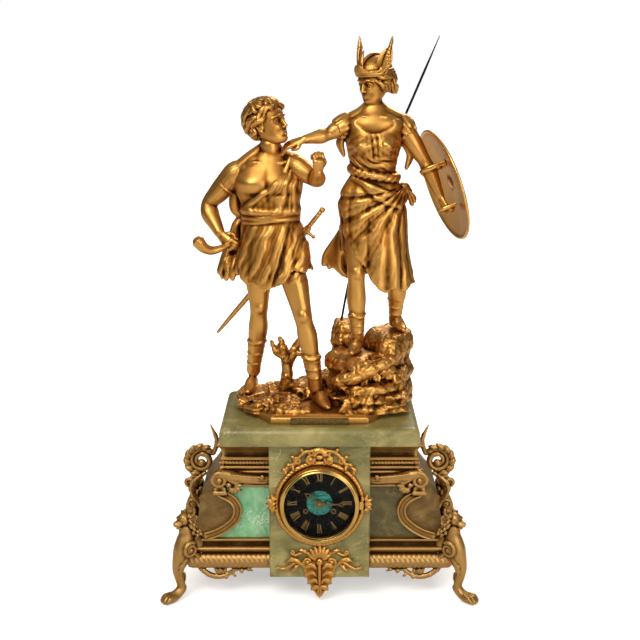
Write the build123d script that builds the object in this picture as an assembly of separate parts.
from build123d import *
from math import atan2, cos, degrees, radians, sin, sqrt
import os

# Figural mantel clock: a gilt youth and maiden on rockwork stand on a green onyx case with
# gilt mounts, a round dial and a spring-driven pendulum movement.
# Origin on the floor under the middle of the case, +Z up, the dial faces -Y, millimetres.

# Fits
cut_overrun = 5.0
running_gap = 0.05
seat_gap = 0.2
swing_gap = 0.4

# Case: onyx body on a gilt base moulding
foot_clearance = 33.0
moulding_width = 338.0
moulding_depth = 136.0
torus_height = 27.0
torus_round = 10.0
cove_height = 17.0
cove_setback = 8.0
base_opening_width = 172.0
base_opening_depth = 76.0
apron_inset = 45.0
apron_radius = 10.0
apron_bar = 4.0
body_height = 133.0
body_back = 66.0
case_top_half = 118.0
case_setback = 11.0
case_bottom_half = moulding_width / 2 - case_setback
side_inner_half = 104.0
back_thickness = 9.0
flare_shares = ((1.0, 0.0), (0.83, 0.41), (0.30, 0.62), (0.05, 0.89), (0.0, 1.0))
slab_width = 248.0
slab_depth = 172.0
slab_thickness = 22.0
slab_bevel = 9.0
slab_corner = 8.0
block_width = 126.0
block_front = 78.0
block_depth = 34.0
block_edge = 1.5
panel_front = 54.0
panel_thickness = 9.0
panel_height = 70.0
rib_shares = ((0.66, 0.90), (0.43, 0.585), (0.58, 0.23), (0.72, 0.085), (0.915, 0.03))
rib_width = 7.0
rib_proud = 6.0
cornice_proud = 12.0
cornice_overhang = 10.0
cornice_shares = (
    (0.3, 0.0), (0.3, 0.15), (0.75, 0.18), (0.75, 0.30), (0.55, 0.33), (0.55, 0.46),
    (0.95, 0.50), (0.95, 0.60), (0.5, 0.66), (0.6, 0.85), (1.0, 1.0),
)
volute_radius = 12.0
volute_proud = 17.0

# Side scrolls, lion feet and the pendant
scroll_thickness = 8.0
scroll_setback = 14.0
scroll_bar = 6.0
scroll_height = 118.0
scroll_ring_radius = 20.0
scroll_curl_radius = 8.0
scroll_ring_share = (0.005, 0.59)
scroll_curl_shares = ((0.145, 0.33), (0.12, 0.07), (0.0, 0.10))
scroll_stem_shares = ((0.02, 0.43), (0.10, 0.27), (0.04, 0.08))
scroll_tip_shares = ((-0.09, 0.72), (-0.15, 0.86), (-0.10, 1.0))
foot_corner_inset = 8.0
foot_splay = 37.0
foot_height = 118.0
leg_shares = (
    (-0.02, 0.66, 0.125), (0.04, 0.54, 0.145), (0.145, 0.40, 0.105),
    (0.185, 0.25, 0.07), (0.165, 0.11, 0.065),
)
paw_shares = ((0.13, 0.055, 0.06), (0.22, 0.06, 0.085), (0.335, 0.055, 0.08), (0.40, 0.045, 0.05))
neck_shares = ((0.0, 0.62, 0.12), (0.04, 0.78, 0.10), (0.09, 0.88, 0.09))
head_share = (0.11, 0.90, 0.10)
muzzle_share = (0.20, 0.86, 0.065)
pendant_thickness = 7.0
pendant_top = 76.0
pendant_tip = 5.0
pendant_half = 57.0
pendant_leaf_shares = ((0.0, 0.0), (0.20, 0.30), (0.34, 0.55), (0.26, 0.80), (0.14, 1.0))
pendant_scroll_radius = 9.0
pendant_arm_shares = ((0.08, 0.92), (0.45, 0.96), (0.80, 0.72))

# Fasteners
tie_x = 94.0
tie_front = 30.0
tie_back = 34.0
tie_radius = 2.5
tie_bite = 12.0
nut_radius = 5.5
nut_height = 4.0
stud_x = 70.0
stud_front = 22.0
stud_back = 40.0

# Dial and bezel
dial_height = 133.0
surround_radius = 57.5
surround_inner = 45.5
surround_thickness = 5.0
sleeve_radius = 49.4
sleeve_wall = 1.9
sleeve_length = 16.0
crest_half = 46.0
crest_gap = 1.0
crest_thickness = 6.0
side_leaf_reach = 10.5
side_leaf_half = 13.0
side_leaf_thickness = 4.0
bezel_radius = 50.0
bezel_lip_radius = 44.0
bezel_depth = 10.0
bezel_lip = 3.0
glass_radius = 46.0
glass_thickness = 2.0
hinge_offset = 3.0
hinge_arm = 3.2
knuckle_radius = 2.2
knuckle_half = 5.8
knuckle_end = 5.0
hinge_pin_radius = 1.1
dial_thickness = 4.0
dial_hole_radius = 3.5
centre_disc_radius = 16.2
centre_disc_thickness = 1.0
winding_x = 17.5
winding_drop = 11.3
winding_hole_radius = 3.3
winding_square = 3.0
winding_recess = 1.5
hour_hand_length = 24.0
minute_hand_length = 37.5
hand_thickness = 0.8
hand_width = 2.6
hand_neck_width = 1.3
moon_radius = 3.0
moon_bar = 1.0
moon_share = 0.74
hand_boss_radius = 4.6
hour_hand_lift = 2.4
minute_hand_lift = 4.8
hour_angle = -52.5
minute_angle = 90.0

# Movement
motion_room = 11.0
plate_thickness = 2.0
plate_gap = 32.0
plate_radius = 41.0
pillar_radius = 2.6
pillar_circle = 36.0
pillar_angles = (25, 155, 250, 290)
dial_foot_radius = 1.6
dial_foot_circle = 33.0
dial_foot_angles = (90, 210, 330)
pivot_radius = 0.8
arbor_radius = 1.2
end_shake = 0.3
tooth_addendum_share = 0.7
tooth_dedendum_share = 1.1
tooth_root_share = 0.22
tooth_tip_share = 0.10
wheel_thickness = 1.5
pinion_extra = 0.8
barrel_module = 0.4
barrel_teeth = 80
barrel_pinion_leaves = 12
barrel_radius = 14.6
barrel_start = 1.2
barrel_length = 16.0
winding_arbor_radius = 2.0
intermediate_module = 0.42
intermediate_teeth = 66
centre_pinion_leaves = 12
intermediate_step = 1.2
centre_module = 0.33
centre_teeth = 84
third_pinion_leaves = 7
third_module = 0.26
third_teeth = 77
escape_pinion_leaves = 6
escape_rise = 16.5
escape_radius = 8.5
escape_teeth = 30
escape_start = 3.0
tooth_depth = 1.3
escape_tooth_shares = ((1.0, 0.0), (0.0, 0.55), (0.0, 0.62), (1.0, 0.70))
anchor_rise = 30.0
pallet_angle = 44.0
pallet_gap = 1.0
pallet_width = 1.6
pallet_bar = 2.4
anchor_elbow_share = 1.25
motion_distance = 12.0
cannon_leaves = 12
minute_wheel_teeth = 36
minute_pinion_leaves = 10
hour_wheel_teeth = 40
motion_step = 1.0
cannon_radius = 1.8
hour_pipe_radius = 3.0
centre_arbor_radius = 1.05

# Suspension, pendulum, bell and hammer
cock_width = 9.0
cock_height = 7.0
cock_depth = 14.0
cock_rise = 4.0
strip_width = 4.0
strip_thickness = 0.8
pendulum_setback = 8.5
suspension_pin_radius = 0.8
eye_radius = 2.4
eye_thickness = 3.0
rod_radius = 1.0
pendulum_length = 103.0
bob_radius = 14.0
bob_thickness = 8.0
bob_edge = 3.0
rating_nut_radius = 2.6
rating_nut_height = 3.5
crutch_length = 26.0
crutch_thickness = 1.5
crutch_start = 1.0
prong_radius = 0.6
prong_gap = 0.4
bell_radius = 28.0
bell_depth = 18.0
bell_wall = 1.6
bell_round_share = (0.82, 0.72)
bell_rise = 12.0
bell_setback = 31.0
bell_post_x = 33.0
bell_post_radius = 2.0
bell_arm_height = 3.0
hammer_x = 35.0
hammer_drop = 3.0
hammer_stud_radius = 1.2
hammer_stud_length = 16.0
hammer_eye_radius = 2.6
hammer_eye_start = 3.0
hammer_bar = 2.0
hammer_head_radius = 3.0
hammer_strike_gap = 2.5
hammer_head_length = 6.0
hammer_reach = 4.0
strap_width = 10.0
strap_thickness = 3.2
strap_play = 0.7
rear_door_radius = 50.0
rear_door_thickness = 2.0
rear_knob_radius = 3.0
rear_knob_length = 5.0
rear_knob_offset = 40.0

# Terrace with rockwork
terrace_width = 214.0
terrace_depth = 146.0
terrace_shift = 7.0
terrace_height = 12.0
terrace_ledge = 4.0
terrace_ledge_height = 4.0
terrace_plan_shares = ((0.285, -0.5), (0.5, -0.05), (0.5, 0.10), (0.285, 0.5))
rock_plan_shares = (
    (1.0, 0.10), (0.70, 0.78), (0.12, 0.96), (-0.62, 0.80),
    (-0.96, 0.20), (-0.78, -0.66), (-0.10, -1.0), (0.72, -0.72),
)
rock_level_shares = ((0.0, 1.0), (0.45, 0.98), (0.86, 0.90), (1.0, 0.70))
# Each boulder: middle x and y, half width and half depth, height, all as shares of the terrace
boulder_shares = (
    (-0.43, 0.10, 0.075, 0.22, 0.050),
    (-0.20, 0.24, 0.24, 0.22, 0.045),
    (0.02, -0.10, 0.13, 0.20, 0.018),
    (0.21, -0.02, 0.145, 0.30, 0.325),
    (0.42, 0.10, 0.13, 0.28, 0.43),
    (0.15, 0.25, 0.075, 0.13, 0.465),
    (0.29, -0.25, 0.125, 0.137, 0.168),
    (0.41, -0.16, 0.10, 0.18, 0.103),
    (0.15, -0.17, 0.085, 0.125, 0.085),
    (0.31, 0.185, 0.16, 0.205, 0.304),
    (0.467, -0.06, 0.056, 0.15, 0.234),
    (0.327, -0.10, 0.12, 0.165, 0.262),
    (0.056, 0.20, 0.093, 0.15, 0.131),
    (-0.056, 0.185, 0.13, 0.17, 0.08),
)
right_foot_boulder = 0
low_foot_boulder = 3
high_foot_boulder = 4
stump_shares = ((-0.24, 0.17, 0.02), (-0.235, 0.165, 0.20), (-0.25, 0.16, 0.36))
stump_fork_shares = ((-0.235, 0.165, 0.18), (-0.19, 0.155, 0.28), (-0.155, 0.15, 0.34))
stump_radius = 11.0
stump_tip_radius = 6.0
plate_width = 72.0
plate_height = 8.5
plate_proud = 2.0
rosette_radius = 3.0

# Youth, as shares of his height from the ground between his feet
youth_height = 385.0
youth_x = -45.0
youth_sole = 11.0
youth_shares = {
    "right_hip": (-0.085, 0.01, 0.51), "right_knee": (-0.083, 0.015, 0.32),
    "right_calf": (-0.088, 0.035, 0.24), "right_ankle": (-0.105, 0.07, 0.11),
    "right_heel": (-0.11, 0.095, 0.055), "right_toe": (-0.122, 0.015, 0.03),
    "left_hip": (0.02, -0.01, 0.515), "left_knee": (0.062, -0.055, 0.305),
    "left_calf": (0.078, -0.045, 0.23), "left_ankle": (0.10, -0.045, 0.10),
    "left_heel": (0.105, -0.02, 0.018), "left_toe": (0.14, -0.105, 0.014),
    "neck": (-0.035, 0.0, 0.815), "head": (-0.045, -0.005, 0.92),
    "right_shoulder": (-0.15, 0.005, 0.76), "right_elbow": (-0.25, 0.03, 0.65),
    "right_wrist": (-0.205, -0.02, 0.57), "right_hand": (-0.185, -0.035, 0.548),
    "left_shoulder": (0.045, -0.015, 0.80), "left_elbow": (0.105, -0.05, 0.735),
    "left_wrist": (0.112, -0.095, 0.775), "left_hand": (0.115, -0.11, 0.80),
    "horn_mouth": (-0.168, -0.035, 0.54), "horn_bend": (-0.225, -0.06, 0.52),
    "horn_tip": (-0.27, -0.085, 0.555),
    "cloak_top": (-0.11, 0.055, 0.74), "cloak_mid": (-0.15, 0.06, 0.63),
    "cloak_low": (-0.165, 0.05, 0.50), "cloak_end": (-0.175, 0.04, 0.42),
    "hilt": (0.125, 0.045, 0.635), "guard": (0.07, 0.055, 0.565), "sword_tip": (-0.235, 0.125, 0.20),
}
# Trunk rings from the hem to the neck: middle x and y, height, half width, half depth
youth_trunk_shares = (
    (-0.02, 0.0, 0.40, 0.112, 0.085), (-0.03, 0.0, 0.47, 0.105, 0.078), (-0.035, 0.0, 0.53, 0.094, 0.067),
    (-0.04, 0.0, 0.605, 0.080, 0.057), (-0.048, -0.012, 0.70, 0.098, 0.064),
    (-0.048, -0.008, 0.765, 0.098, 0.055), (-0.040, -0.002, 0.80, 0.050, 0.036),
)

# Maiden, as shares of her height from the lower foot to the helmet
maiden_height = 385.0
maiden_x = 75.0
maiden_y = 5.0
maiden_rise = 73.0
maiden_shares = {
    "right_hip": (-0.065, -0.01, 0.42), "right_knee": (-0.075, -0.04, 0.28),
    "right_calf": (-0.074, -0.03, 0.19), "right_ankle": (-0.07, -0.03, 0.085),
    "right_heel": (-0.066, -0.005, 0.026), "right_toe": (-0.086, -0.07, 0.022),
    "left_hip": (0.04, 0.01, 0.42), "left_knee": (0.06, 0.008, 0.26),
    "left_calf": (0.062, 0.03, 0.20), "left_ankle": (0.06, 0.05, 0.125),
    "left_heel": (0.057, 0.075, 0.085), "left_toe": (0.08, 0.013, 0.078),
    "neck": (-0.023, 0.003, 0.787), "head": (-0.022, -0.008, 0.885),
    "right_shoulder": (-0.105, 0.003, 0.758), "right_elbow": (-0.171, -0.018, 0.722),
    "right_wrist": (-0.245, -0.05, 0.705), "right_hand": (-0.285, -0.045, 0.682),
    "left_shoulder": (0.068, 0.013, 0.756), "left_elbow": (0.15, 0.0, 0.626),
    "left_wrist": (0.195, -0.03, 0.522), "left_hand": (0.208, -0.04, 0.49),
    "shield": (0.205, -0.005, 0.561), "sash_top": (0.07, 0.03, 0.55), "sash_end": (0.11, 0.055, 0.48),
    "spear_foot": (-0.121, 0.105, 0.083),
    "spear_bend": (-0.062, 0.13, 0.42), "spear_tip": (0.187, 0.045, 1.03),
}
maiden_trunk_shares = (
    (-0.012, 0.008, 0.235, 0.120, 0.084), (-0.02, 0.004, 0.34, 0.116, 0.078),
    (-0.026, 0.0, 0.43, 0.112, 0.074), (-0.028, 0.0, 0.495, 0.106, 0.072),
    (-0.02, 0.0, 0.605, 0.072, 0.052), (-0.02, -0.008, 0.69, 0.086, 0.062),
    (-0.02, 0.0, 0.755, 0.088, 0.048), (-0.022, 0.002, 0.785, 0.042, 0.032),
)
# Skirt folds, valley and ridge in turn: place as a share of a turn, reach as a share of the trunk's
fold_shares = (
    (0.00, 1.05), (0.04, 1.05), (0.08, 1.0), (0.125, 1.0), (0.17, 1.0), (0.21, 1.0), (0.25, 1.0), (0.29, 1.0),
    (0.33, 1.0), (0.375, 1.0), (0.42, 1.0), (0.46, 1.05), (0.50, 1.10), (0.535, 1.12), (0.59, 1.0), (0.645, 0.94),
    (0.69, 0.98), (0.72, 1.0), (0.75, 1.0), (0.785, 1.0), (0.82, 1.0), (0.855, 1.0), (0.89, 1.0), (0.945, 1.10),
)
fold_depth_shares = (0.07, 0.05, 0.02)
shield_radius = 71.0
shield_dish = 13.0
shield_thickness = 2.2
shield_facing_shares = (-0.916, -0.26, -0.302)
grip_radius = 2.6
spear_radius = 1.5
spear_bend_radius = 770.0
spear_head_length = 45.0
spear_point_radius = 0.4
wing_length = 34.0
wing_width = 15.0
wing_thickness = 3.0
wing_spread = 17.0
blade_width = 7.0
blade_thickness = 2.6
hilt_radius = 2.6
guard_length = 22.0
pommel_radius = 4.0

brim_tilt = 15.0

# Body measures shared by both figures, as shares of the height
joint_share = 1.06
thigh_share = 0.050
knee_share = 0.036
calf_share = 0.040
ankle_share = 0.026
sole_share = 0.022
toe_share = 0.017
neck_radius_share = 0.036
upper_arm_share = 0.034
elbow_share = 0.026
wrist_share = 0.019
hand_share = 0.025
head_half_shares = (0.046, 0.056, 0.066)
hair_half_shares = (0.056, 0.062, 0.056)
horn_mouth_share = 0.026
horn_tip_share = 0.007
cloak_shares = (0.024, 0.036, 0.038, 0.030)
sash_shares = (0.022, 0.04)
foot_middle_share = 0.5
instep_share = 0.2
foot_room_share = 0.12
neck_top_share = 0.5
hair_back_share = 0.5
helmet_lift_share = 0.33
wing_root_share = 0.5

# Places worked out from the sizes above
moulding_top = foot_clearance + torus_height + cove_height
slab_bottom = moulding_top + body_height
slab_top = slab_bottom + slab_thickness
block_half = block_width / 2
panel_back = panel_front - panel_thickness
panel_top = moulding_top + panel_height
cornice_height = slab_bottom - panel_top
cornice_end = case_top_half + cornice_overhang
dial_face = -block_front
dial_back = dial_face + dial_thickness
surround_face = dial_face - surround_thickness
front_plate_face = dial_back + motion_room
train_front = front_plate_face + plate_thickness
train_back = train_front + plate_gap
back_plate_face = train_back + plate_thickness
pendulum_y = back_plate_face + pendulum_setback
anchor_z = dial_height + anchor_rise
rear_face = body_back + surround_thickness
ground = slab_top + terrace_height
middle = (Align.CENTER, Align.CENTER, Align.MIN)


# Build helpers
def front_plane(y, x=0.0, z=0.0):
    return Plane(origin=(x, y, z), x_dir=(1, 0, 0), z_dir=(0, -1, 0))


# A sketch as seen from the front, extruded from one depth forward to another
def front_cut(sketch, back_y, front_y, x=0.0, z=0.0):
    return extrude(front_plane(back_y, x, z) * sketch, back_y - front_y, dir=(0, -1, 0))


def rod_y(radius, back_y, front_y, x=0.0, z=0.0):
    return front_cut(Circle(radius), back_y, front_y, x, z)


def tube_y(outer, inner, back_y, front_y, x=0.0, z=0.0):
    return front_cut(Circle(outer) - Circle(inner), back_y, front_y, x, z)


def rod_z(radius, low, high, x=0.0, y=0.0):
    return Pos(x, y, low) * Cylinder(radius, high - low, align=middle)


def between(first, second, share):
    return first + (second - first) * share


def box_between(low, high):
    size = [b - a for a, b in zip(low, high)]
    centre = [(a + b) / 2 for a, b in zip(low, high)]
    return Pos(*centre) * Box(*size)


def joined(first, *others):
    return first.fuse(*others) if others else first


# The main solid of a cut, without the loose ends left inside the other piece
def largest(part):
    return part.solids().sort_by(SortBy.VOLUME)[-1]


def mirrored_x(part):
    return mirror(part, about=Plane.YZ)


def mirrored_y(part):
    return mirror(part, about=Plane.XZ)


# Round limb of cones through a row of points, with a ball at each point a little larger than the cones
def limb(points, radii):
    pieces = [Pos(*spot) * Sphere(joint_share * radius) for spot, radius in zip(points, radii)]
    for index, spot in enumerate(points[:-1]):
        along = points[index + 1] - spot
        low, high = radii[index], radii[index + 1]
        if low == high:
            bone = Cylinder(low, along.length, align=middle)
        else:
            bone = Cone(low, high, along.length, align=middle)
        pieces.append(Plane(origin=spot, z_dir=along) * bone)
    return joined(*pieces)


def trunk(rings):
    return loft([Pos(x, y, z) * Ellipse(wide, deep) for x, y, z, wide, deep in rings])


def ellipsoid(centre, halves):
    return Pos(*centre) * scale(Sphere(1), by=tuple(halves))


# Gear outline with straight-sided teeth, one tooth in line with the given angle
def gear(teeth, module, turn):
    pitch_radius = module * teeth / 2
    tip = pitch_radius + tooth_addendum_share * module
    root = pitch_radius - tooth_dedendum_share * module
    step = 360 / teeth
    corners = (
        (root, -tooth_root_share), (tip, -tooth_tip_share),
        (tip, tooth_tip_share), (root, tooth_root_share),
    )
    points = []
    for tooth in range(teeth):
        for radius, share in corners:
            angle = radians(turn + (tooth + share) * step)
            points.append((radius * cos(angle), radius * sin(angle)))
    return Polygon(*points, align=None)


# Turns of a driving wheel and its driven pinion so that a tooth meets a gap
def mesh_turns(driver, driven, driven_teeth):
    line = degrees(atan2(driven[1] - driver[1], driven[0] - driver[0]))
    return line, line + 180 + 180 / driven_teeth


# Third corner of a triangle on a base, from the two sides that meet there
def meeting_point(first, second, from_first, from_second, side):
    base_x, base_z = second[0] - first[0], second[1] - first[1]
    base = sqrt(base_x**2 + base_z**2)
    along = (base**2 + from_first**2 - from_second**2) / (2 * base)
    off = side * sqrt(from_first**2 - along**2)
    unit_x, unit_z = base_x / base, base_z / base
    return (first[0] + along * unit_x - off * unit_z, first[1] + along * unit_z + off * unit_x)


# Arbor between the plates with a pivot in each plate
def arbor(place):
    x, z = place[0], dial_height + place[1]
    shaft = rod_y(arbor_radius, train_back - end_shake, train_front + end_shake, x, z)
    return joined(shaft, rod_y(pivot_radius, back_plate_face, front_plate_face, x, z))


def wheel(sketch, start, thickness, place):
    return front_cut(sketch, start + thickness, start, place[0], dial_height + place[1])


# Case pieces
def flare_points():
    spread = case_bottom_half - case_top_half
    return [(case_top_half + spread * out, moulding_top + body_height * up) for out, up in flare_shares]


# Outline of the onyx body from an inner line out to the flared side
def body_outline(inner_half):
    low, shoulder, bend, top, end = flare_points()
    lines = [
        Line((inner_half, low[1]), low), Line(low, shoulder), ThreePointArc(shoulder, bend, top),
        Line(top, end), Line(end, (inner_half, end[1])),
        Line((inner_half, end[1]), (inner_half, low[1])),
    ]
    return make_face(lines)


def rib_points():
    reach = case_bottom_half - block_half
    return [(block_half + reach * out, moulding_top + panel_height * up) for out, up in rib_shares]


def panel_outline(gap=0.0):
    upper, bulge, lower, sweep_mid, end = [(x + 2 * gap, z + gap) for x, z in rib_points()]
    lines = [
        Line((block_half, moulding_top), (end[0], moulding_top)), Line((end[0], moulding_top), end),
        ThreePointArc(end, sweep_mid, lower),
        ThreePointArc(lower, bulge, upper), Line(upper, (upper[0], panel_top)),
        Line((upper[0], panel_top), (block_half, panel_top)),
        Line((block_half, panel_top), (block_half, moulding_top)),
    ]
    return make_face(lines)


def make_base_moulding():
    torus = Pos(0, 0, foot_clearance) * Box(moulding_width, moulding_depth, torus_height, align=middle)
    by_height = torus.faces().sort_by(Axis.Z)
    torus = fillet(by_height[0].edges() + by_height[-1].edges(), torus_round)
    levels = []
    for level, inset in ((moulding_top - cove_height, cove_setback), (moulding_top, 2 * cove_setback)):
        levels.append(Pos(0, 0, level) * Rectangle(moulding_width - inset, moulding_depth - inset))
    cove = loft(levels)
    ring = joined(torus, cove)
    low, high = foot_clearance - cut_overrun, moulding_top + cut_overrun
    ring -= Pos(0, 0, low) * Box(base_opening_width, base_opening_depth, high - low, align=middle)
    ring -= front_block_box()
    for x in (-tie_x, tie_x):
        for y in (-tie_front, tie_back):
            ring -= rod_z(tie_radius + seat_gap, low, high, x, y)
    apron_x = moulding_width / 2 - apron_inset
    apron_y = torus_round - moulding_depth / 2
    apron_inner = apron_radius - apron_bar
    for x in (-apron_x, apron_x):
        for y in (apron_y, apron_bar - apron_y):
            ring += tube_y(apron_radius, apron_inner, y, y - apron_bar, x, foot_clearance)
    return ring


def front_block_box():
    back_y = block_depth - block_front
    return box_between((-block_half, -block_front, foot_clearance), (block_half, back_y, slab_bottom))


def make_front_block():
    block = front_block_box()
    block = chamfer(block.edges().filter_by(Axis.Z).sort_by(Axis.Y)[:2], block_edge)
    return block - rod_y(sleeve_radius + seat_gap, 0, -2 * block_front, 0, dial_height)


def make_right_panel():
    return front_cut(panel_outline(), -panel_back, -panel_front)


def make_right_wing_frame():
    profile = [(-panel_back, panel_top)]
    for out, up in cornice_shares:
        profile.append((-panel_front - cornice_proud * out, panel_top + cornice_height * up))
    profile.append((-panel_back, slab_bottom))
    start = Plane(origin=(block_half, 0, 0), x_dir=(0, 1, 0), z_dir=(1, 0, 0))
    cornice = extrude(start * Polygon(*profile, align=None), cornice_end - block_half, dir=(1, 0, 0))
    upper, bulge, lower, sweep_mid, end = rib_points()
    volute_z = panel_top + volute_radius
    volute = rod_y(volute_radius, -panel_front, -panel_front - volute_proud, upper[0], volute_z)
    arcs = [ThreePointArc(upper, bulge, lower), ThreePointArc(lower, sweep_mid, end)]
    rib = front_cut(trace(arcs, rib_width), -panel_front, -panel_front - rib_proud)
    abacus = box_between(
        (upper[0] - rib_width, -panel_front - volute_proud, upper[1] - rib_width),
        (upper[0] + rib_width, -panel_front, panel_top + cut_overrun))
    frame = joined(cornice, volute, rib, abacus)
    below = Box(moulding_width, 2 * moulding_depth, moulding_top, align=middle)
    return frame - below


def make_right_side_panel(wing_frame):
    back_y = body_back - back_thickness
    side = front_cut(body_outline(side_inner_half), back_y, -panel_front)
    return side - front_cut(panel_outline(seat_gap), -panel_back, -panel_front - cut_overrun) - wing_frame


def make_back_panel():
    half = front_cut(body_outline(0.0), body_back, body_back - back_thickness)
    whole = joined(half, mirrored_x(half))
    return whole - rod_y(sleeve_radius + seat_gap, 2 * body_back, 0, 0, dial_height)


def make_top_slab():
    slab = Pos(0, 0, slab_bottom) * Box(slab_width, slab_depth, slab_thickness, align=middle)
    slab = fillet(slab.edges().filter_by(Axis.Z), slab_corner)
    slab = fillet(slab.faces().sort_by(Axis.Z)[-1].edges(), slab_bevel)
    low, high = slab_bottom - cut_overrun, slab_top + cut_overrun
    for side in (-1, 1):
        for y in (-tie_front, tie_back):
            slab -= rod_z(tie_radius + running_gap, low, slab_bottom + tie_bite, side * tie_x, y)
        for y in (-stud_front, stud_back):
            slab -= rod_z(tie_radius + seat_gap, low, high, side * stud_x, y)
    return slab


def make_case_fasteners():
    hexagon = RegularPolygon(nut_radius, 6)
    pieces = []
    for x in (-1, 1):
        for y in (-tie_front, tie_back):
            bolt = rod_z(tie_radius, foot_clearance - nut_height, slab_bottom + tie_bite, x * tie_x, y)
            head = extrude(Pos(x * tie_x, y, foot_clearance - nut_height) * hexagon, nut_height)
            pieces.append(joined(bolt, head))
        for y in (-stud_front, stud_back):
            ring = hexagon - Circle(tie_radius + running_gap)
            pieces.append(extrude(Pos(x * stud_x, y, slab_bottom - nut_height) * ring, nut_height))
    return Compound(children=[piece.solid() for piece in pieces])


def make_right_side_scroll(side_panel):
    base_x, base_z = case_bottom_half - scroll_bar, moulding_top + scroll_ring_radius

    def place(share):
        return (base_x + scroll_height * share[0], base_z + scroll_height * share[1])

    ring = Circle(scroll_ring_radius) - Circle(scroll_ring_radius - scroll_bar)
    shape = Pos(*place(scroll_ring_share)) * ring
    for share in scroll_curl_shares:
        shape += Pos(*place(share)) * Circle(scroll_curl_radius)
    for shares in (scroll_stem_shares, scroll_tip_shares):
        shape += trace(ThreePointArc(*[place(share) for share in shares]), scroll_bar)
    front_y = -scroll_setback - scroll_thickness / 2
    return front_cut(shape, front_y + scroll_thickness, front_y) - side_panel


def make_front_right_foot():
    def along(share):
        return Vector(foot_height * share[0], 0, foot_height * share[1])

    def chain(shares):
        return limb([along(share) for share in shares], [foot_height * share[2] for share in shares])

    pieces = [chain(shares) for shares in (leg_shares, paw_shares, neck_shares)]
    pieces += [Pos(*along(share)) * Sphere(foot_height * share[2]) for share in (head_share, muzzle_share)]
    foot = joined(*pieces)
    below = Box(2 * foot_height, foot_height, foot_height, align=(Align.CENTER, Align.CENTER, Align.MAX))
    foot -= below
    corner = (moulding_width / 2 - foot_corner_inset, foot_corner_inset - moulding_depth / 2, 0)
    return Pos(*corner) * Rot(0, 0, -foot_splay) * foot


def make_leaf_pendant():
    drop = pendant_top - pendant_tip
    right = [(pendant_half * out, pendant_tip + drop * up) for out, up in pendant_leaf_shares]
    left = [(-x, z) for x, z in reversed(right[1:])]
    leaf = Polygon(*right, *left, align=None)
    shape = leaf
    arm = [(pendant_half * out, pendant_tip + drop * up) for out, up in pendant_arm_shares]
    for side in (-1, 1):
        points = [(side * x, z) for x, z in arm]
        shape += trace(ThreePointArc(*points), scroll_bar)
        shape += Pos(*points[-1]) * Circle(pendant_scroll_radius)
    pendant = front_cut(shape, -block_front, -block_front - pendant_thickness)
    return pendant - rod_y(surround_radius + seat_gap, cut_overrun, -2 * block_front, 0, dial_height)


# Dial pieces. The hinge stands at the right of a ring whose face is at y 0 and looks to -Y.
def hinge_fixed():
    x = bezel_radius + hinge_arm
    top = knuckle_half + running_gap + knuckle_end
    pieces = [rod_z(hinge_pin_radius, -top, top, x, -hinge_offset)]
    for low in (-top, top - knuckle_end):
        pieces.append(rod_z(knuckle_radius, low, low + knuckle_end, x, -hinge_offset))
        pieces.append(box_between((x - knuckle_radius, -hinge_offset, low),
                                  (x + knuckle_radius, 0, low + knuckle_end)))
    return joined(*pieces)


def hinge_moving():
    x = bezel_radius + hinge_arm
    knuckle = rod_z(knuckle_radius, -knuckle_half, knuckle_half, x, -hinge_offset)
    arm = box_between(
        (bezel_radius - hinge_arm, -hinge_offset - knuckle_radius, -knuckle_half),
        (x, knuckle_radius - hinge_offset - swing_gap, knuckle_half))
    bore_end = knuckle_half + cut_overrun
    bore = rod_z(hinge_pin_radius + running_gap, -bore_end, bore_end, x, -hinge_offset)
    return joined(arm, knuckle) - bore


def front_ring():
    ring = tube_y(surround_radius, surround_inner, surround_thickness, 0)
    sleeve_back = surround_thickness + sleeve_length
    sleeve = tube_y(sleeve_radius, sleeve_radius - sleeve_wall, sleeve_back, surround_thickness)
    return joined(ring, sleeve, hinge_fixed())


def make_dial_surround():
    ring = Pos(0, surround_face, dial_height) * front_ring()
    crest_top = slab_bottom - crest_gap
    foot = (crest_half, dial_height + sqrt(surround_radius**2 - crest_half**2) - crest_thickness)
    crest = make_face([
        ThreePointArc((-foot[0], foot[1]), (0, dial_height + surround_inner + crest_thickness), foot),
        ThreePointArc(foot, (crest_half / 2, crest_top - crest_thickness), (0, crest_top)),
        ThreePointArc((0, crest_top), (-crest_half / 2, crest_top - crest_thickness), (-foot[0], foot[1])),
    ])
    ring = joined(ring, front_cut(crest, dial_face, dial_face - crest_thickness))
    leaf = Ellipse(2 * side_leaf_reach, side_leaf_half)
    inside = rod_y(surround_radius - running_gap, 0, 2 * dial_face, 0, dial_height)
    for side in (-1, 1):
        x = side * (surround_radius - side_leaf_reach)
        blade = front_cut(leaf, dial_face, dial_face - side_leaf_thickness, x, dial_height)
        ring = joined(ring, blade - inside)
    return ring


def make_bezel_ring():
    back = -swing_gap
    ring = tube_y(bezel_radius, glass_radius + seat_gap, back, bezel_lip - bezel_depth)
    lip = tube_y(bezel_radius, bezel_lip_radius, bezel_lip - bezel_depth, -bezel_depth)
    body = joined(ring, lip, hinge_moving())
    body -= rod_y(glass_radius + seat_gap, cut_overrun, bezel_lip - bezel_depth)
    return Pos(0, surround_face, dial_height) * body


def make_bezel_glass():
    front = surround_face + bezel_lip - bezel_depth
    return rod_y(glass_radius, front + glass_thickness, front, 0, dial_height)


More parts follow.
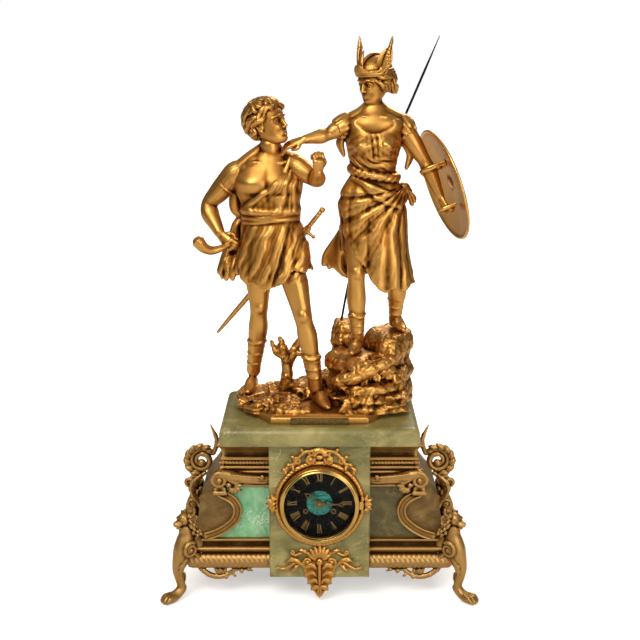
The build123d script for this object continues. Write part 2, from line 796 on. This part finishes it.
def make_dial_plate():
    plate = rod_y(sleeve_radius - sleeve_wall - seat_gap, dial_back, dial_face, 0, dial_height)
    back_y, front_y = dial_back + cut_overrun, dial_face - cut_overrun
    plate -= rod_y(dial_hole_radius, back_y, front_y, 0, dial_height)
    plate -= rod_y(centre_disc_radius, dial_face + centre_disc_thickness, front_y, 0, dial_height)
    for x in (-winding_x, winding_x):
        plate -= rod_y(winding_hole_radius, back_y, front_y, x, dial_height - winding_drop)
    return plate


def make_dial_centre():
    outer, back_y = centre_disc_radius - running_gap, dial_face + centre_disc_thickness
    return tube_y(outer, dial_hole_radius, back_y, dial_face, 0, dial_height)


# Hand with a pierced moon near its tip, turned clockwise from twelve
def make_hand(length, bore, lift, angle):
    moon_at = moon_share * length
    tip_at = moon_at + moon_radius - moon_bar
    half, neck = hand_width / 2, hand_neck_width / 2
    blade = Polygon((-half, 0), (half, 0), (neck, moon_at), (-neck, moon_at), align=None)
    tip = Polygon((-half, tip_at), (half, tip_at), (0, length), align=None)
    moon = Pos(0, moon_at) * Circle(moon_radius)
    eye = Pos(0, moon_at) * Circle(moon_radius - moon_bar)
    shape = blade + tip + Circle(hand_boss_radius) + moon - eye - Circle(bore)
    back = dial_face - lift
    return front_cut(Rot(0, 0, -angle) * shape, back, back - hand_thickness, 0, dial_height)


# Movement layout, seen from the front and measured from the dial centre
centre = (0.0, 0.0)
going = (winding_x, -winding_drop)
striking = (-winding_x, -winding_drop)
escape = (0.0, escape_rise)
anchor_place = (0.0, anchor_rise)
minute_place = (0.0, -motion_distance)
intermediate = meeting_point(
    centre, going, intermediate_module * (intermediate_teeth + centre_pinion_leaves) / 2,
    barrel_module * (barrel_teeth + barrel_pinion_leaves) / 2, 1)
third = meeting_point(
    centre, escape, centre_module * (centre_teeth + third_pinion_leaves) / 2,
    third_module * (third_teeth + escape_pinion_leaves) / 2, 1)
barrel_gear_start = train_front + barrel_start + barrel_length
intermediate_start = barrel_gear_start + wheel_thickness + intermediate_step
centre_start = intermediate_start + wheel_thickness + intermediate_step
third_start = centre_start + wheel_thickness + intermediate_step
escape_y = train_front + escape_start
minute_start = front_plate_face - motion_step - wheel_thickness
hour_start = minute_start - motion_step - wheel_thickness


def pinion(leaves, module, turn, start, place):
    length = wheel_thickness + pinion_extra
    return wheel(gear(leaves, module, turn), start - pinion_extra / 2, length, place)


def make_barrel(place):
    turn = mesh_turns(going, intermediate, barrel_pinion_leaves)[0]
    x, z = place[0], dial_height + place[1]
    drum = rod_y(barrel_radius, barrel_gear_start, train_front + barrel_start, x, z)
    toothed = wheel(gear(barrel_teeth, barrel_module, turn), barrel_gear_start, wheel_thickness, place)
    bore = rod_y(winding_arbor_radius + running_gap, train_back, train_front - cut_overrun, x, z)
    return joined(drum, toothed) - bore


def make_winding_arbor(place):
    x, z = place[0], dial_height + place[1]
    end = dial_face + winding_recess
    shaft = rod_y(winding_arbor_radius, back_plate_face, front_plate_face - motion_step, x, z)
    square = front_cut(Rectangle(winding_square, winding_square), front_plate_face - motion_step, end, x, z)
    return joined(shaft, square)


def make_intermediate_wheel():
    wheel_turn = mesh_turns(intermediate, centre, centre_pinion_leaves)[0]
    pinion_turn = mesh_turns(going, intermediate, barrel_pinion_leaves)[1]
    outline = gear(intermediate_teeth, intermediate_module, wheel_turn)
    toothed = wheel(outline, intermediate_start, wheel_thickness, intermediate)
    leaves = pinion(barrel_pinion_leaves, barrel_module, pinion_turn, barrel_gear_start, intermediate)
    return joined(arbor(intermediate), toothed, leaves)


def make_centre_wheel():
    pinion_turn = mesh_turns(intermediate, centre, centre_pinion_leaves)[1]
    toothed = wheel(gear(centre_teeth, centre_module, 0), centre_start, wheel_thickness, centre)
    front = dial_face - minute_hand_lift - hand_thickness - end_shake
    shaft = rod_y(centre_arbor_radius, back_plate_face, front, 0, dial_height)
    thick = rod_y(arbor_radius, train_back - end_shake, train_front + end_shake, 0, dial_height)
    leaves = pinion(centre_pinion_leaves, intermediate_module, pinion_turn, intermediate_start, centre)
    return joined(shaft, toothed, thick, leaves)


# The third pinion's leaf circle stays just clear of the centre wheel
def make_third_wheel():
    turn = mesh_turns(third, escape, escape_pinion_leaves)[0]
    toothed = wheel(gear(third_teeth, third_module, turn), third_start, wheel_thickness, third)
    wheel_tip = centre_module * (centre_teeth / 2 + tooth_addendum_share)
    reach = sqrt(third[0]**2 + third[1]**2) - wheel_tip - end_shake
    leaf_module = reach / (third_pinion_leaves / 2 + tooth_addendum_share)
    core_start = centre_start - pinion_extra
    core = wheel(Circle(arbor_radius - end_shake), core_start, wheel_thickness + pinion_extra, third)
    leaves = pinion(third_pinion_leaves, leaf_module, 0, centre_start, third)
    x, z = third[0], dial_height + third[1]
    slim = rod_y(reach - leaf_module, train_back - end_shake, train_front + end_shake, x, z)
    pivots = rod_y(pivot_radius, back_plate_face, front_plate_face, x, z)
    return joined(slim, pivots, toothed, leaves, core)


# Escape wheel with forward-raked teeth
def make_escape_wheel():
    points = []
    step = 360 / escape_teeth
    for tooth in range(escape_teeth):
        for drop, share in escape_tooth_shares:
            radius = escape_radius - tooth_depth * drop
            angle = radians((tooth + share) * step)
            points.append((radius * cos(angle), radius * sin(angle)))
    toothed = wheel(Polygon(*points, align=None), escape_y, wheel_thickness, escape)
    turn = mesh_turns(third, escape, escape_pinion_leaves)[1]
    x, z = escape[0], dial_height + escape[1]
    core_radius = third_module * (escape_pinion_leaves / 2 - tooth_dedendum_share)
    front_shaft = rod_y(arbor_radius, third_start - wheel_thickness, train_front + end_shake, x, z)
    pivots = rod_y(core_radius, back_plate_face, front_plate_face, x, z)
    leaves = pinion(escape_pinion_leaves, third_module, turn, third_start, escape)
    return joined(front_shaft, pivots, toothed, leaves)


# Anchor with its two pallets, arbor and crutch
def make_anchor():
    z = dial_height + anchor_rise
    reach = escape_radius + pallet_gap
    shape = Circle(arbor_radius + pallet_bar)
    for side in (-1, 1):
        angle = radians(pallet_angle)
        tip = (side * reach * sin(angle), escape_rise - anchor_rise + reach * cos(angle))
        elbow = (side * anchor_elbow_share * (reach + pallet_width) * sin(angle), tip[1] + pallet_bar)
        shape += trace(Line((0, 0), elbow), pallet_bar)
        shape += trace(Line(elbow, tip), pallet_width)
    body = front_cut(shape, escape_y + wheel_thickness, escape_y, 0, z)
    crutch_y = back_plate_face + crutch_start
    shaft = rod_y(arbor_radius, train_back - end_shake, train_front + end_shake, 0, z)
    pivots = rod_y(pivot_radius, crutch_y, front_plate_face, 0, z)
    bar = box_between((-pallet_bar, crutch_y, z - crutch_length),
                      (pallet_bar, crutch_y + crutch_thickness, z + pallet_bar))
    pieces = [shaft, pivots, body, bar]
    prong_x, prong_z = rod_radius + prong_gap + prong_radius, z - crutch_length + pallet_bar
    for x in (-prong_x, prong_x):
        pieces.append(rod_y(prong_radius, pendulum_y + eye_thickness, crutch_y, x, prong_z))
    return joined(*pieces)


def plate_holes():
    centre_pivot = centre_arbor_radius + running_gap
    escape_pivot = third_module * (escape_pinion_leaves / 2 - tooth_dedendum_share) + running_gap
    slim = pivot_radius + running_gap
    winding = winding_arbor_radius + running_gap
    return (
        (centre, centre_pivot), (going, winding), (striking, winding), (escape, escape_pivot),
        (intermediate, slim), (third, slim), (anchor_place, slim),
    )


def drilled(plate, back_y, front_y):
    start, finish = back_y + cut_overrun, front_y - cut_overrun
    for place, radius in plate_holes():
        plate -= rod_y(radius, start, finish, place[0], dial_height + place[1])
    return plate


# Places on a circle about the dial centre, as seen from the front
def circle_places(radius, angles):
    return [(radius * cos(radians(angle)), dial_height + radius * sin(radians(angle))) for angle in angles]


def make_front_plate():
    disc = rod_y(plate_radius, train_front, front_plate_face, 0, dial_height)
    plate = drilled(disc, train_front, front_plate_face)
    for x, z in circle_places(dial_foot_circle, dial_foot_angles):
        plate = joined(plate, rod_y(dial_foot_radius, front_plate_face, dial_back, x, z))
    stud_z = dial_height + minute_place[1]
    stud = rod_y(arbor_radius, front_plate_face, hour_start - end_shake, minute_place[0], stud_z)
    return joined(plate, stud)


def make_back_plate():
    disc = rod_y(plate_radius, back_plate_face, train_back, 0, dial_height)
    plate = drilled(disc, back_plate_face, train_back)
    for x, z in circle_places(pillar_circle, pillar_angles):
        plate = joined(plate, rod_y(pillar_radius, train_back, train_front, x, z))
    stud = rod_y(hammer_stud_radius, back_plate_face + hammer_stud_length, back_plate_face,
                 -hammer_x, dial_height - hammer_drop)
    return joined(plate, stud)


cannon_module = 2 * motion_distance / (cannon_leaves + minute_wheel_teeth)
hour_module = 2 * motion_distance / (minute_pinion_leaves + hour_wheel_teeth)


def make_cannon_pinion():
    turn = mesh_turns(minute_place, centre, cannon_leaves)[1]
    leaves = wheel(gear(cannon_leaves, cannon_module, turn), minute_start, wheel_thickness, centre)
    front = dial_face - minute_hand_lift - hand_thickness
    pipe = rod_y(cannon_radius, minute_start, front, 0, dial_height)
    bore = rod_y(centre_arbor_radius + running_gap, front_plate_face, front - cut_overrun, 0, dial_height)
    return joined(leaves, pipe) - bore


def make_minute_wheel():
    wheel_turn = mesh_turns(minute_place, centre, cannon_leaves)[0]
    pinion_turn = mesh_turns(centre, minute_place, minute_pinion_leaves)[1]
    outline = gear(minute_wheel_teeth, cannon_module, wheel_turn)
    toothed = wheel(outline, minute_start, wheel_thickness, minute_place)
    leaf_outline = gear(minute_pinion_leaves, hour_module, pinion_turn)
    leaves = wheel(leaf_outline, hour_start, minute_start - hour_start, minute_place)
    bore = rod_y(arbor_radius + running_gap, front_plate_face, hour_start - cut_overrun,
                 minute_place[0], dial_height + minute_place[1])
    return joined(toothed, leaves) - bore


def make_hour_wheel():
    turn = mesh_turns(centre, minute_place, minute_pinion_leaves)[0]
    toothed = wheel(gear(hour_wheel_teeth, hour_module, turn), hour_start, wheel_thickness, centre)
    front = dial_face - hour_hand_lift - hand_thickness
    pipe = rod_y(hour_pipe_radius, hour_start, front, 0, dial_height)
    bore = rod_y(cannon_radius + running_gap, minute_start, front - cut_overrun, 0, dial_height)
    return joined(toothed, pipe) - bore


def make_suspension_cock():
    low = anchor_z + cock_rise
    block = box_between((-cock_width / 2, back_plate_face, low),
                        (cock_width / 2, back_plate_face + cock_depth, low + cock_height))
    strip_y = pendulum_y - eye_thickness / 2 - strip_thickness - swing_gap
    strip = box_between((-strip_width / 2, strip_y, anchor_z - suspension_pin_radius),
                        (strip_width / 2, strip_y + strip_thickness, low))
    pin = rod_y(suspension_pin_radius, pendulum_y + eye_thickness / 2 + swing_gap, strip_y, 0, anchor_z)
    return joined(block, strip, pin)


def make_pendulum_rod():
    back = pendulum_y + eye_thickness / 2
    eye = rod_y(eye_radius, back, back - eye_thickness, 0, anchor_z)
    low = anchor_z - pendulum_length - bob_radius - running_gap
    rod = rod_z(rod_radius, low - rating_nut_height, anchor_z, 0, pendulum_y)
    nut = rod_z(rating_nut_radius, low - rating_nut_height, low, 0, pendulum_y)
    hole_front = back - eye_thickness - cut_overrun
    hole = rod_y(suspension_pin_radius + running_gap, back + cut_overrun, hole_front, 0, anchor_z)
    return joined(eye, rod, nut) - hole


def make_pendulum_bob():
    z = anchor_z - pendulum_length
    front = pendulum_y - bob_thickness / 2
    lens = rod_y(bob_radius, front + bob_thickness, front, 0, z)
    lens = fillet(lens.edges().filter_by(GeomType.CIRCLE), bob_edge)
    return lens - rod_z(rod_radius + running_gap, z - 2 * bob_radius, z + 2 * bob_radius, 0, pendulum_y)


# Bell on its stand, mouth towards the movement
def make_bell():
    mouth = back_plate_face + bell_setback
    z = dial_height + bell_rise
    crown = bell_depth - bell_wall
    round_x, round_y = bell_radius * bell_round_share[0], bell_depth * bell_round_share[1]
    inner = bell_radius - bell_wall
    profile = make_face([
        ThreePointArc((bell_radius, 0), (round_x, round_y), (0, bell_depth)),
        Line((0, bell_depth), (0, crown)),
        ThreePointArc((0, crown), (round_x - bell_wall, round_y - bell_wall / 2), (inner, 0)),
        Line((inner, 0), (bell_radius, 0)),
    ])
    cup = Pos(0, mouth, z) * revolve(profile, Axis.Y)
    arm_front = mouth - bell_arm_height
    post = rod_y(bell_post_radius, mouth, back_plate_face, bell_post_x, z)
    arm = box_between((0, arm_front, z - bell_post_radius), (bell_post_x, mouth, z + bell_post_radius))
    stem = rod_y(bell_post_radius, mouth + crown + bell_wall / 2, arm_front, 0, z)
    return joined(cup, post, arm, stem)


# Hammer arm on its stud beside the bell
def make_hammer():
    z = dial_height - hammer_drop
    head_z = dial_height + bell_rise
    eye_front = back_plate_face + hammer_eye_start
    eye_back = back_plate_face + hammer_stud_length
    head_y = back_plate_face + bell_setback + hammer_reach
    eye = rod_y(hammer_eye_radius, eye_back, eye_front, -hammer_x, z)
    rise = box_between((-hammer_x - hammer_bar / 2, eye_back - hammer_bar, z),
                       (-hammer_x + hammer_bar / 2, eye_back, head_z + hammer_bar / 2))
    reach = box_between((-hammer_x - hammer_bar / 2, eye_back - hammer_bar, head_z - hammer_bar / 2),
                        (-hammer_x + hammer_bar / 2, head_y, head_z + hammer_bar / 2))
    head_x = -bell_radius - hammer_strike_gap - hammer_head_length / 2
    lying = Rot(0, 90, 0) * Cylinder(hammer_head_radius, hammer_head_length)
    head = Pos(head_x, head_y, head_z) * lying
    bore_radius = hammer_stud_radius + running_gap
    bore = rod_y(bore_radius, eye_back + cut_overrun, eye_front - cut_overrun, -hammer_x, z)
    return joined(eye, rise, reach, head) - bore


def make_movement_straps():
    outer = sleeve_radius - sleeve_wall - strap_play
    strap = box_between((outer - strap_thickness, dial_back + motion_step, dial_height - strap_width / 2),
                        (outer, body_back, dial_height + strap_width / 2))
    return Compound(children=[strap.solid(), mirrored_x(strap).solid()])


def make_rear_ring():
    return Pos(0, rear_face, dial_height) * Rot(0, 0, 180) * front_ring()


def make_rear_door():
    face = -swing_gap - rear_door_thickness
    disc = rod_y(rear_door_radius, -swing_gap, face)
    knob = rod_y(rear_knob_radius, face, face - rear_knob_length, -rear_knob_offset)
    return Pos(0, rear_face, dial_height) * Rot(0, 0, 180) * joined(disc, hinge_moving(), knob)


# Terrace and rockwork
def terrace_outline(inset):
    right = [((terrace_width - inset) * x, (terrace_depth - inset) * y) for x, y in terrace_plan_shares]
    left = [(-x, y) for x, y in reversed(right)]
    return Polygon(*right, *left, align=None)


def boulder(shares):
    x, y, half_width, half_depth, height = shares
    foot = terrace_spot((x, y, 0.0)) - Vector(0, 0, terrace_ledge)
    sections = []
    for up, size in rock_level_shares:
        wide, deep = terrace_width * half_width * size, terrace_depth * half_depth * size
        points = [(wide * along, deep * across) for along, across in rock_plan_shares]
        place = foot + Vector(0, 0, terrace_width * height * up)
        sections.append(Pos(*place) * Polygon(*points, align=None))
    return loft(sections, ruled=True)


def boulder_top(index):
    return ground - terrace_ledge + terrace_width * boulder_shares[index][-1]


def terrace_spot(share):
    x, y, up = share
    return Vector(terrace_width * x, terrace_shift + terrace_depth * y, ground + terrace_width * up)


def make_terrace():
    floor = Pos(0, terrace_shift, slab_top)
    lower = extrude(floor * terrace_outline(0.0), terrace_height - terrace_ledge_height)
    upper = extrude(floor * terrace_outline(2 * terrace_ledge), terrace_height)
    rocks = [boulder(shares) for shares in boulder_shares]
    stump = limb([terrace_spot(share) for share in stump_shares],
                 (stump_radius, stump_radius, stump_tip_radius))
    fork = limb([terrace_spot(share) for share in stump_fork_shares], [stump_tip_radius] * 3)
    stud_low = slab_bottom - nut_height - running_gap
    studs = [rod_z(tie_radius, stud_low, ground, x, y)
             for x in (-stud_x, stud_x) for y in (-stud_front, stud_back)]
    return joined(lower, upper, *rocks, stump, fork, *studs)


def make_nameplate():
    front = terrace_shift - terrace_depth / 2
    low = slab_top
    plate = box_between((-plate_width / 2, front - plate_proud, low),
                        (plate_width / 2, front, low + plate_height))
    pin_x, pin_z = (plate_width - plate_height) / 2, low + plate_height / 2
    for x in (-pin_x, pin_x):
        plate = joined(plate, rod_y(rosette_radius, front, front - 2 * plate_proud, x, pin_z))
    return plate


# Figures
youth_origin = Vector(youth_x, 0, slab_top + youth_sole)
maiden_origin = Vector(maiden_x, maiden_y, slab_top + maiden_rise)
youth = {name: youth_origin + Vector(*share) * youth_height for name, share in youth_shares.items()}
maiden = {name: maiden_origin + Vector(*share) * maiden_height for name, share in maiden_shares.items()}


def figure_trunk(origin, height, rings):
    placed = []
    for x, y, z, half_width, half_depth in rings:
        spot = origin + Vector(x, y, z) * height
        placed.append((spot.X, spot.Y, spot.Z, half_width * height, half_depth * height))
    return trunk(placed)


def figure_leg(joints, side, height):
    leg = [joints[f"{side}_{name}"] for name in ("hip", "knee", "calf", "ankle")]
    thick = [height * share for share in (thigh_share, knee_share, calf_share, ankle_share)]
    heel, toe, ankle = joints[f"{side}_heel"], joints[f"{side}_toe"], joints[f"{side}_ankle"]
    widths = [height * share for share in (sole_share, sole_share, toe_share)]
    foot = limb([heel, between(heel, toe, foot_middle_share), toe], widths)
    shank = limb([ankle, between(heel, toe, instep_share)], [height * ankle_share, height * sole_share])
    return joined(limb(leg, thick), foot, shank)


# Figure cut flat under one foot, at the height it stands on
def stood(figure, toe, level):
    reach = foot_room_share * youth_height
    low = (toe.X - reach, toe.Y - reach, slab_top)
    return figure - box_between(low, (toe.X + reach, toe.Y + reach, level))


def figure_arm(joints, side, height):
    spots = [joints[f"{side}_{name}"] for name in ("shoulder", "elbow", "wrist")]
    upper = limb(spots[:2], [height * upper_arm_share, height * elbow_share])
    lower = limb(spots[1:], [height * elbow_share, height * wrist_share])
    palm = limb([spots[2], joints[f"{side}_hand"]], [height * wrist_share, height * hand_share])
    return joined(upper, lower, palm)


def figure_neck(joints, height):
    top = between(joints["neck"], joints["head"], neck_top_share)
    return limb([joints["neck"], top], [height * neck_radius_share] * 2)


def make_youth_body():
    pieces = [figure_trunk(youth_origin, youth_height, youth_trunk_shares)]
    pieces += [figure_leg(youth, side, youth_height) for side in ("right", "left")]
    cloak = [youth[name] for name in ("cloak_top", "cloak_mid", "cloak_low", "cloak_end")]
    pieces.append(limb(cloak, [youth_height * share for share in cloak_shares]))
    body = stood(joined(*pieces), youth["right_toe"], boulder_top(right_foot_boulder))
    return stood(body, youth["left_toe"], ground)


def make_youth_head(body):
    centre_spot = youth["head"]
    shift = hair_back_share * head_half_shares[0] * youth_height
    back = Vector(0, shift, shift)
    pieces = [
        ellipsoid(centre_spot, [share * youth_height for share in head_half_shares]),
        ellipsoid(centre_spot + back, [share * youth_height for share in hair_half_shares]),
        figure_neck(youth, youth_height),
    ]
    return joined(*pieces) - body


def make_youth_right_arm(body):
    horn = limb([youth[name] for name in ("horn_mouth", "horn_bend", "horn_tip")],
                [youth_height * share for share in (horn_mouth_share, wrist_share, horn_tip_share)])
    return largest(joined(figure_arm(youth, "right", youth_height), horn) - body)


def make_youth_left_arm(body, head):
    return largest(figure_arm(youth, "left", youth_height) - body - head)


def make_sword(body):
    hilt, guard, tip = youth["hilt"], youth["guard"], youth["sword_tip"]
    along = (tip - guard).normalized()
    flat = Plane(origin=guard, x_dir=Vector(0, 0, 1).cross(along), z_dir=along)
    length = (tip - guard).length
    blade = loft([flat * Rectangle(blade_width, blade_thickness),
                  flat * Pos(0, 0, length) * Rectangle(blade_width / 2, blade_thickness / 2)])
    cross = flat * Rot(0, 90, 90) * Cylinder(hilt_radius, guard_length)
    grip = limb([guard, hilt], [hilt_radius, hilt_radius])
    pommel = Pos(*hilt) * Sphere(pommel_radius)
    return joined(blade, cross, grip, pommel) - body


# Pleated skirt: star-shaped rings from the hem up to the hips
def skirt_folds(origin, height, rings):
    sections = []
    for (x, y, z, half_width, half_depth), depth in zip(rings, fold_depth_shares):
        points = []
        for index, (turn, reach) in enumerate(fold_shares):
            out = reach + depth if index % 2 else reach - depth
            angle = radians(360 * turn)
            points.append((half_width * height * out * cos(angle), half_depth * height * out * sin(angle)))
        sections.append(Pos(*(origin + Vector(x, y, z) * height)) * Polygon(*points, align=None))
    return loft(sections, ruled=True)


def make_maiden_body():
    pieces = [figure_trunk(maiden_origin, maiden_height, maiden_trunk_shares)]
    pieces.append(skirt_folds(maiden_origin, maiden_height, maiden_trunk_shares))
    pieces += [figure_leg(maiden, side, maiden_height) for side in ("right", "left")]
    sash_radii = [maiden_height * share for share in sash_shares]
    pieces.append(limb([maiden["sash_top"], maiden["sash_end"]], sash_radii))
    body = stood(joined(*pieces), maiden["right_toe"], boulder_top(low_foot_boulder))
    return stood(body, maiden["left_toe"], boulder_top(high_foot_boulder))


# Head in a round helmet with a brim and two upright wings
def make_maiden_head(body):
    spot = maiden["head"]
    halves = [share * maiden_height for share in head_half_shares]
    cap = [share * maiden_height for share in hair_half_shares]
    lift = helmet_lift_share * halves[0]
    round_brim = scale(Cylinder(1, wing_thickness), by=(cap[0] + wing_thickness, cap[1] + wing_thickness, 1))
    brim = Pos(*(spot + Vector(0, 0, lift))) * Rot(-brim_tilt, 0, 0) * round_brim
    helmet = ellipsoid(spot + Vector(0, lift, lift), cap)
    pieces = [ellipsoid(spot, halves), helmet, brim, figure_neck(maiden, maiden_height)]
    half = wing_width / 2
    outline = Polygon((-half, 0), (half, 0), (half, wing_length / 2), (0, wing_length),
                      (-half, wing_length / 2), align=None)
    upright = Rot(0, 0, 90) * Rot(90, 0, 0) * extrude(outline, wing_thickness / 2, both=True)
    rise = wing_root_share * halves[0]
    for side in (-1, 1):
        pieces.append(Pos(*(spot + Vector(side * wing_spread, rise, rise))) * upright)
    return joined(*pieces) - body


def make_maiden_right_arm(body, others):
    arm = figure_arm(maiden, "right", maiden_height) - body
    for other in others:
        arm -= other
    return largest(arm)


def make_maiden_left_arm(body):
    return largest(figure_arm(maiden, "left", maiden_height) - body)


# Dished round shield, its hollow towards the forearm, with a grip bar to the hand
def make_shield(arm, body):
    plane = Plane(origin=maiden["shield"], z_dir=Vector(*shield_facing_shares))
    ball = (shield_radius**2 + shield_dish**2) / (2 * shield_dish)
    hollow = Pos(0, 0, ball - shield_dish) * Rot(90, 0, 0)
    dish = hollow * Sphere(ball + shield_thickness) - hollow * Sphere(ball)
    rim_height = 2 * (shield_dish + cut_overrun)
    dish &= Cylinder(shield_radius, rim_height, align=(Align.CENTER, Align.CENTER, Align.MAX))
    dish = plane * dish - arm - body
    pieces = [largest(dish)]
    for name in ("left_hand", "left_wrist"):
        spot = plane.to_local_coords(maiden[name])
        depth = ball - shield_dish - sqrt(ball**2 - spot.X**2 - spot.Y**2) - shield_thickness / 2
        post = Pos(spot.X, spot.Y, depth) * Cylinder(grip_radius, spot.Z - depth, align=middle)
        seat = plane.from_local_coords((spot.X, spot.Y, depth))
        pieces.append((plane * post - arm).solids().sort_by_distance(seat)[0])
    return joined(*pieces)


# Bowed spear behind the maiden, from the rock to its point above her shoulder
def make_spear(others):
    foot, bend, tip = maiden["spear_foot"], maiden["spear_bend"], maiden["spear_tip"]
    neck = tip + (bend - tip).normalized() * spear_head_length
    path = FilletPolyline(foot, bend, neck, radius=spear_bend_radius)
    start = Plane(origin=foot, z_dir=bend - foot)
    rod = sweep(start * Circle(spear_radius), path=path)
    end = Plane(origin=neck, z_dir=tip - neck)
    point = end * Pos(0, 0, spear_head_length) * Circle(spear_point_radius)
    spear = joined(rod, loft([end * Circle(spear_radius), point]))
    for other in others:
        spear -= other
    return spear


# All pieces by name
pieces = {}
pieces["base_moulding"] = make_base_moulding()
pieces["front_block"] = make_front_block()
pieces["top_slab"] = make_top_slab()
pieces["right_panel"] = make_right_panel()
pieces["right_wing_frame"] = make_right_wing_frame()
pieces["right_side_panel"] = make_right_side_panel(pieces["right_wing_frame"])
pieces["right_side_scroll"] = make_right_side_scroll(pieces["right_side_panel"])
for name in ("panel", "wing_frame", "side_panel", "side_scroll"):
    pieces[f"left_{name}"] = mirrored_x(pieces[f"right_{name}"])
pieces["back_panel"] = make_back_panel()
foot = make_front_right_foot()
for name, shape in (("front_right_foot", foot), ("rear_right_foot", mirrored_y(foot))):
    for neighbour in ("base_moulding", "right_panel", "right_side_panel", "right_wing_frame", "back_panel",
                      "right_side_scroll"):
        shape -= pieces[neighbour]
    pieces[name] = shape
    pieces[name.replace("right", "left")] = mirrored_x(shape)
pieces["leaf_pendant"] = make_leaf_pendant()
pieces["case_fasteners"] = make_case_fasteners()
pieces["dial_surround"] = make_dial_surround()
pieces["bezel_ring"] = make_bezel_ring()
pieces["bezel_glass"] = make_bezel_glass()
pieces["dial_plate"] = make_dial_plate()
pieces["dial_centre"] = make_dial_centre()
hour_bore, minute_bore = hour_pipe_radius + running_gap, cannon_radius + running_gap
pieces["hour_hand"] = make_hand(hour_hand_length, hour_bore, hour_hand_lift, hour_angle)
pieces["minute_hand"] = make_hand(minute_hand_length, minute_bore, minute_hand_lift, minute_angle)
pieces["front_plate"] = make_front_plate()
pieces["back_plate"] = make_back_plate()
pieces["going_barrel"] = make_barrel(going)
pieces["strike_barrel"] = make_barrel(striking)
pieces["going_winding_arbor"] = make_winding_arbor(going)
pieces["strike_winding_arbor"] = make_winding_arbor(striking)
pieces["intermediate_wheel"] = make_intermediate_wheel()
pieces["centre_wheel"] = make_centre_wheel()
pieces["third_wheel"] = make_third_wheel()
pieces["escape_wheel"] = make_escape_wheel()
pieces["anchor"] = make_anchor()
pieces["cannon_pinion"] = make_cannon_pinion()
pieces["minute_wheel"] = make_minute_wheel()
pieces["hour_wheel"] = make_hour_wheel()
pieces["suspension_cock"] = make_suspension_cock()
pieces["pendulum_rod"] = make_pendulum_rod()
pieces["pendulum_bob"] = make_pendulum_bob()
pieces["bell"] = make_bell()
pieces["hammer"] = make_hammer()
pieces["movement_straps"] = make_movement_straps()
pieces["rear_ring"] = make_rear_ring()
pieces["rear_door"] = make_rear_door()
pieces["youth_body"] = make_youth_body()
pieces["youth_head"] = make_youth_head(pieces["youth_body"])
pieces["youth_right_arm"] = make_youth_right_arm(pieces["youth_body"])
pieces["youth_left_arm"] = make_youth_left_arm(pieces["youth_body"], pieces["youth_head"])
pieces["sword"] = make_sword(pieces["youth_body"])
pieces["maiden_body"] = make_maiden_body()
pieces["maiden_head"] = make_maiden_head(pieces["maiden_body"])
pieces["maiden_right_arm"] = make_maiden_right_arm(
    pieces["maiden_body"], (pieces["youth_body"], pieces["youth_left_arm"], pieces["youth_head"]))
pieces["maiden_left_arm"] = make_maiden_left_arm(pieces["maiden_body"])
pieces["shield"] = make_shield(pieces["maiden_left_arm"], pieces["maiden_body"])
pieces["terrace"] = make_terrace()
pieces["spear"] = make_spear((pieces["terrace"], pieces["maiden_body"]))
pieces["nameplate"] = make_nameplate()

os.makedirs("parts", exist_ok=True)
for name, piece in pieces.items():
    export_step(piece, f"parts/{name}.step")
    print(name, len(piece.solids()), round(piece.volume))
